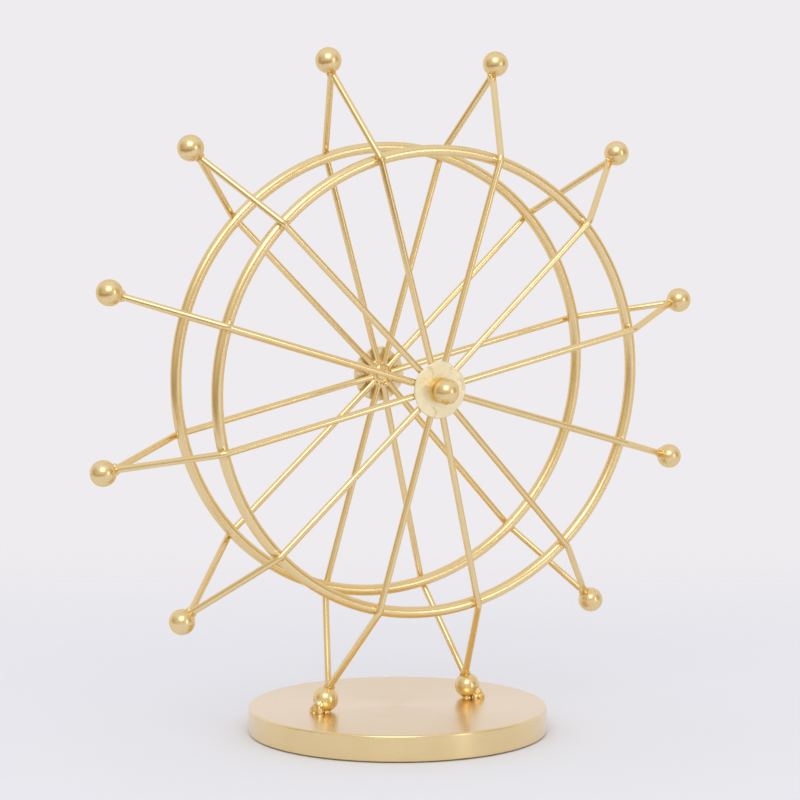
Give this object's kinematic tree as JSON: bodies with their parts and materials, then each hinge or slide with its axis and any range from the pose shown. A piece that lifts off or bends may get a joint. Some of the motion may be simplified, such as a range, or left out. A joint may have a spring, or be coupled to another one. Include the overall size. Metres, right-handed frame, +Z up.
{
  "type": "ferris wheel desk ornament",
  "caption": "Free-standing metal ornament shaped like a ferris wheel: paired rings joined by bent wire spokes that end in balls, standing on a round base plate.",
  "frame": {"origin": "centre of the underside of the base pad, on the surface the ornament stands on", "axes": "+Z up; the wheel's axis runs front to back along Y, the wheel's front faces -Y; +X to the right seen from the front"},
  "size_m": [0.2622, 0.12, 0.2714],
  "materials": {
    "base_gold": "satin champagne gold lacquer over metal, smooth",
    "pad": "matt dark foam rubber",
    "ring_gold": "satin champagne gold lacquer over steel rod",
    "wire_gold": "satin champagne gold lacquer over steel wire",
    "ball_gold": "semi-gloss gold lacquer over steel ball",
    "disc_gold": "satin pale gold lacquer over thin sheet steel, slightly dented",
    "pin_gold": "satin gold lacquer over steel pin",
    "weld_gold": "satin gold lacquer over rough weld metal"
  },
  "bodies": {
    "root": {"base_plate": "base_gold", "base_pad": "pad", "front_ring": "ring_gold", "rear_ring": "ring_gold", "front_spoke_01": "wire_gold", "front_spoke_02": "wire_gold", "front_spoke_03": "wire_gold", "front_spoke_04": "wire_gold", "front_spoke_05": "wire_gold", "front_spoke_06": "wire_gold", "front_spoke_07": "wire_gold", "front_spoke_08": "wire_gold", "front_spoke_09": "wire_gold", "front_spoke_10": "wire_gold", "front_spoke_11": "wire_gold", "front_spoke_12": "wire_gold", "rear_spoke_01": "wire_gold", "rear_spoke_02": "wire_gold", "rear_spoke_03": "wire_gold", "rear_spoke_04": "wire_gold", "rear_spoke_05": "wire_gold", "rear_spoke_06": "wire_gold", "rear_spoke_07": "wire_gold", "rear_spoke_08": "wire_gold", "rear_spoke_09": "wire_gold", "rear_spoke_10": "wire_gold", "rear_spoke_11": "wire_gold", "rear_spoke_12": "wire_gold", "foot_ball_right": "ball_gold", "foot_ball_left": "ball_gold", "rim_ball_01": "ball_gold", "rim_ball_02": "ball_gold", "rim_ball_03": "ball_gold", "rim_ball_04": "ball_gold", "rim_ball_05": "ball_gold", "rim_ball_06": "ball_gold", "rim_ball_07": "ball_gold", "rim_ball_08": "ball_gold", "rim_ball_09": "ball_gold", "rim_ball_10": "ball_gold", "front_hub_disc": "disc_gold", "front_hub_ball": "ball_gold", "front_hub_ball_seat": "ball_gold", "front_hub_pin": "pin_gold", "front_hub_weld": "weld_gold", "front_ring_welds": "weld_gold", "rear_hub_disc": "disc_gold", "rear_hub_ball": "ball_gold", "rear_hub_ball_seat": "ball_gold", "rear_hub_pin": "pin_gold", "rear_hub_weld": "weld_gold", "rear_ring_welds": "weld_gold", "ball_welds": "weld_gold", "foot_welds": "weld_gold"}
  },
  "joints": []
}
